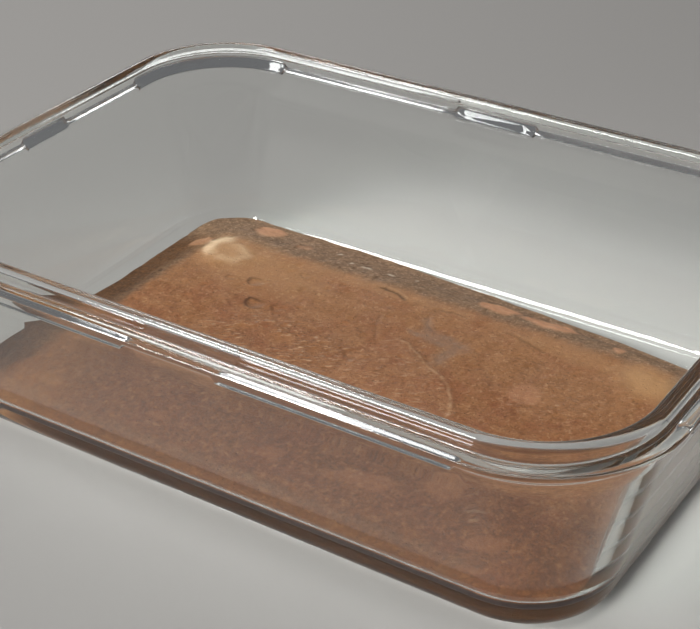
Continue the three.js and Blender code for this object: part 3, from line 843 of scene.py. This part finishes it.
def glass_material():
    """Clear glass that casts a light shadow, so the cake under it is lit."""
    material, tree = new_material("clear_glass")
    out = tree.nodes.new("ShaderNodeOutputMaterial")
    glass = tree.nodes.new("ShaderNodeBsdfPrincipled")
    glass.inputs["Base Color"].default_value = GLASS_TINT
    glass.inputs["Transmission Weight"].default_value = 1
    glass.inputs["Roughness"].default_value = 0.0
    glass.inputs["IOR"].default_value = GLASS_IOR
    clear = tree.nodes.new("ShaderNodeBsdfTransparent")
    clear.inputs["Color"].default_value = GLASS_SHADOW
    path = tree.nodes.new("ShaderNodeLightPath")
    mix = tree.nodes.new("ShaderNodeMixShader")
    tree.links.new(path.outputs["Is Shadow Ray"], mix.inputs["Fac"])
    tree.links.new(glass.outputs[0], mix.inputs[1])
    tree.links.new(clear.outputs[0], mix.inputs[2])
    tree.links.new(mix.outputs[0], out.inputs["Surface"])
    return material


class Nodes:
    """Short ways to add the nodes of one material."""

    def __init__(self, name):
        self.material, self.tree = new_material(name)
        self.place = self.add("ShaderNodeTexCoord").outputs["Object"]

    def add(self, kind, **inputs):
        node = self.tree.nodes.new(kind)
        for name, value in inputs.items():
            self.put(node.inputs[name.replace("_", " ")], value)
        return node

    def put(self, socket, value):
        if isinstance(value, bpy.types.NodeSocket):
            self.tree.links.new(value, socket)
        else:
            socket.default_value = value

    def noise(self, kind):
        """One of the listed noises; a stretch draws its bumps out along a turned direction."""
        size, detail, rough, distort, turn, stretch = NOISES[kind]
        place = self.place
        if stretch != 1:
            rotation = (0, 0, math.radians(turn))
            turned = self.add("ShaderNodeMapping", Vector=place, Rotation=rotation, Scale=(stretch, 1, 1))
            turned.vector_type = "TEXTURE"
            place = turned.outputs[0]
        node = self.add(
            "ShaderNodeTexNoise", Vector=place, Scale=0.5 / (size * MM), Detail=detail,
            Roughness=rough, Distortion=distort,
        )
        return node.outputs["Fac"]

    def holes(self, size, share):
        """1 in small round holes scattered about the given distance apart, 0 between them."""
        cells = self.add("ShaderNodeTexVoronoi", Vector=self.place, Scale=1 / (size * MM))
        return self.spread(cells.outputs["Distance"], 0.6 * share, share, 1, 0)

    def bump(self, kind, height, **below):
        """A bump of a given strength and depth, on top of the one below it."""
        strength, depth = kind
        inputs = {"Strength": strength, "Distance": depth * MM, "Height": height, **below}
        return self.add("ShaderNodeBump", **inputs).outputs[0]

    def mark(self, name):
        """One of the marks that the cake's mesh carries."""
        node = self.tree.nodes.new("ShaderNodeAttribute")
        node.attribute_name = name
        return node.outputs["Fac"]

    def spread(self, value, low, high, new_low=0.0, new_high=1.0):
        """The value's range from low to high, moved to a new range and cut off at its ends."""
        limits = {"From_Min": low, "From_Max": high, "To_Min": new_low, "To_Max": new_high}
        return self.add("ShaderNodeMapRange", Value=value, **limits).outputs["Result"]

    def combine(self, operation, first, second):
        node = self.tree.nodes.new("ShaderNodeMath")
        node.operation = operation
        self.put(node.inputs[0], first)
        self.put(node.inputs[1], second)
        return node.outputs[0]

    def plus(self, first, second):
        return self.combine("ADD", first, second)

    def minus(self, first, second):
        return self.combine("SUBTRACT", first, second)

    def times(self, first, second):
        return self.combine("MULTIPLY", first, second)

    def mix(self, share, first, second, blend="MIX"):
        """Two colours mixed; a name stands for its colour of the palette."""
        node = self.tree.nodes.new("ShaderNodeMix")
        node.data_type = "RGBA"
        node.blend_type = blend
        self.put(node.inputs["Factor"], share)
        for index, colour in zip(MIX_COLOUR_INPUTS, (first, second)):
            self.put(node.inputs[index], linear(PALETTE[colour]) if isinstance(colour, str) else colour)
        return node.outputs[MIX_COLOUR_OUTPUT]


def skin_colour(n, mottle):
    """The thin skin of the flat middle, with coarser lumps near the front."""
    skin = n.mix(mottle, "skin dark", "skin light")
    skin = n.mix(n.spread(n.noise("patches"), 0.46, 0.62, 0, 0.5), skin, "skin red")
    skin = n.mix(n.spread(n.noise("grain"), 0.3, 0.5, 0.7, 0), skin, "skin grain")
    skin = n.mix(n.spread(n.noise("speckle"), 0.54, 0.7, 0, 0.55), skin, "skin speckle")
    skin = n.mix(n.times(n.holes(*SKIN_HOLES), 0.5), skin, "skin hole")
    lumps, front = n.noise("lumps"), n.mark("front")
    skin = n.mix(n.times(n.spread(lumps, 0.54, 0.68, 0, 0.6), front), skin, "lump light")
    return n.mix(n.times(n.spread(lumps, 0.34, 0.46, 0.45, 0), front), skin, "lump dark")


def crumb_colour(n):
    """The dusty, porous crumb of the border."""
    crumb = n.mix(n.spread(n.noise("crumb"), 0.36, 0.64), "crumb dark", "crumb light")
    crumb = n.mix(n.spread(n.noise("crumb speckle"), 0.53, 0.66, 0, 0.6), crumb, "crumb speckle")
    return n.mix(n.times(n.holes(*CRUMB_HOLES), 0.5), crumb, "crumb hole")


def cake_colour(n):
    """Skin and crumb with the marks on both, from the broad ones to the small ones."""
    mottle = n.spread(n.noise("mottle"), 0.26, 0.74)
    colour = n.mix(n.mark("border"), skin_colour(n, mottle), crumb_colour(n))
    # paler skin, and painted highlight
    colour = n.mix(n.mark("pale"), colour, "pale skin and highlight")
    # painted shade, multiplied over the left of the top
    colour = n.mix(n.mark("left_shade"), colour, "left_shade", "MULTIPLY")
    colour = n.mix(n.mark("orange"), colour, n.mix(mottle, "orange dark", "orange light"))
    # painted highlight on the crests of the wrinkles
    crest_highlights = n.times(n.spread(n.noise("wrinkles"), 0.58, 0.7), n.mark("rippled"))
    for share, strength, over in (
        # the brightest crust's colour is partly a painted highlight
        (n.mark("wet"), 0.52, "wet skin"), (n.mark("glow"), 0.9, "glow"), (n.mark("pores"), 0.2, "pore"),
        # painted highlight along the raised edges
        # painted shade in the hollows and grooves
        (n.mark("pits"), 0.75, "pit"), (crest_highlights, 0.75, "crest_highlight"), (n.mark("lips"), 0.75, "lip"),
        (n.mark("flecks"), 0.8, "fleck"),
    ):
        colour = n.mix(n.times(share, strength), colour, over)
    # painted shade: the front, seen through the near wall, is darkened
    colour = n.mix(n.mark("front"), colour, "front", "MULTIPLY")
    colour = n.mix(n.mark("band"), colour, n.mix(mottle, "side dark", "side light"))
    # painted light: the underside and the foot of the side are lightened
    return n.mix(n.mark("under"), colour, n.mix(mottle, "under dark", "under light"))


def cake_roughness(n):
    """A satin skin, duller on the dusty border, and shinier where it is wet or rippled."""
    rough = n.spread(n.noise("sheen"), 0.3, 0.7, 0.42, 0.62)
    rough = n.plus(rough, n.times(n.mark("border"), 0.1))
    rough = n.minus(rough, n.times(n.mark("wet"), 0.14))
    return n.minus(rough, n.times(n.mark("rippled"), 0.16))


def cake_bump(n):
    """Fine grain and holes everywhere, strands of crumb on the border, and wrinkles."""
    grain = n.plus(n.noise("bumps"), n.times(n.noise("fine bumps"), 0.5))
    grain = n.minus(grain, n.times(n.holes(*SKIN_HOLES), 0.5))
    strands = n.times(n.noise("strands"), n.mark("border"))
    wrinkles = n.times(n.noise("wrinkles"), n.mark("rippled"))
    bump = n.bump(GRAIN_BUMP, grain)
    bump = n.bump(STRAND_BUMP, strands, Normal=bump)
    return n.bump(WRINKLE_BUMP, wrinkles, Normal=bump)


def cake_material():
    """Moist chocolate crumb under a thin satin skin, with a greyer, dusty border."""
    n = Nodes("chocolate_crumb")
    shader = n.add(
        "ShaderNodeBsdfPrincipled", Base_Color=cake_colour(n), Roughness=cake_roughness(n),
        Specular_IOR_Level=CAKE_SPECULAR, Normal=cake_bump(n),
    )
    n.add("ShaderNodeOutputMaterial", Surface=shader.outputs[0])
    return n.material


# ---------------------------------------------------------------- stage

def look_matrix():
    """The photograph's camera: where it stands and how it is turned."""
    turn, pitch, roll = (math.radians(a) for a in (CAMERA_TURN, CAMERA_PITCH, CAMERA_ROLL))
    level_share = math.cos(pitch)
    forward = Vector((-math.sin(turn) * level_share, math.cos(turn) * level_share, -math.sin(pitch)))
    level = Vector((math.cos(turn), math.sin(turn), 0))
    above = level.cross(forward)
    right = level * math.cos(roll) + above * math.sin(roll)
    up = above * math.cos(roll) - level * math.sin(roll)
    matrix = Matrix((right, up, -forward)).transposed().to_4x4()
    matrix.translation = Vector(CAMERA_AT) * MM
    return matrix


def add_camera():
    camera = bpy.data.cameras.new("photo_camera")
    camera.sensor_fit = "HORIZONTAL"
    camera.sensor_width = SENSOR_WIDTH
    camera.lens = FOCAL_PIXELS * SENSOR_WIDTH / PHOTO_SIZE[0]
    camera.clip_start = CLIP_START
    holder = bpy.data.objects.new("photo_camera", camera)
    bpy.context.scene.collection.objects.link(holder)
    holder.matrix_world = look_matrix()
    bpy.context.scene.camera = holder


def add_floor():
    far, z = FLOOR_HALF, FLOOR_LEVEL
    corners = [(-far, -far, z), (far, -far, z), (far, far, z), (-far, far, z)]
    floor = mesh_object("floor", corners, [(0, 1, 2, 3)])
    material, tree = new_material("pale_floor")
    out = tree.nodes.new("ShaderNodeOutputMaterial")
    paint = tree.nodes.new("ShaderNodeBsdfPrincipled")
    paint.inputs["Base Color"].default_value = linear(PALETTE["floor"])
    paint.inputs["Roughness"].default_value = FLOOR_ROUGHNESS
    tree.links.new(paint.outputs[0], out.inputs["Surface"])
    floor.data.materials.append(material)


def add_light(name, at, size, power):
    light = bpy.data.lights.new(name, "AREA")
    light.shape = "RECTANGLE"
    light.size, light.size_y = size
    light.energy = power
    holder = bpy.data.objects.new(name, light)
    bpy.context.scene.collection.objects.link(holder)
    holder.location = at
    holder.rotation_euler = (Vector(LIT_PLACE) - Vector(at)).to_track_quat("-Z", "Y").to_euler()


def add_world():
    world = bpy.data.worlds.new("studio")
    world.use_nodes = True
    background = world.node_tree.nodes["Background"]
    background.inputs["Color"].default_value = WORLD_COLOUR
    background.inputs["Strength"].default_value = WORLD_STRENGTH
    bpy.context.scene.world = world


def follow_light_in_glass():
    """Light turns back inside the rim and the walls many times before it leaves them."""
    cycles = bpy.context.scene.cycles
    cycles.max_bounces = GLASS_BOUNCES
    cycles.glossy_bounces = GLASS_BOUNCES
    cycles.transmission_bounces = GLASS_BOUNCES
    cycles.transparent_max_bounces = CLEAR_BOUNCES


# ---------------------------------------------------------------- the part

dish = make_dish()
dish.data.materials.append(glass_material())
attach(dish, "root")
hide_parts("dish")

cake = make_cake()
cake.data.materials.append(cake_material())
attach(cake, "root")
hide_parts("cake")

add_floor()
add_camera()
for light_values in LIGHTS:
    add_light(*light_values)
add_world()
follow_light_in_glass()
bpy.context.scene.view_settings.view_transform = "Standard"
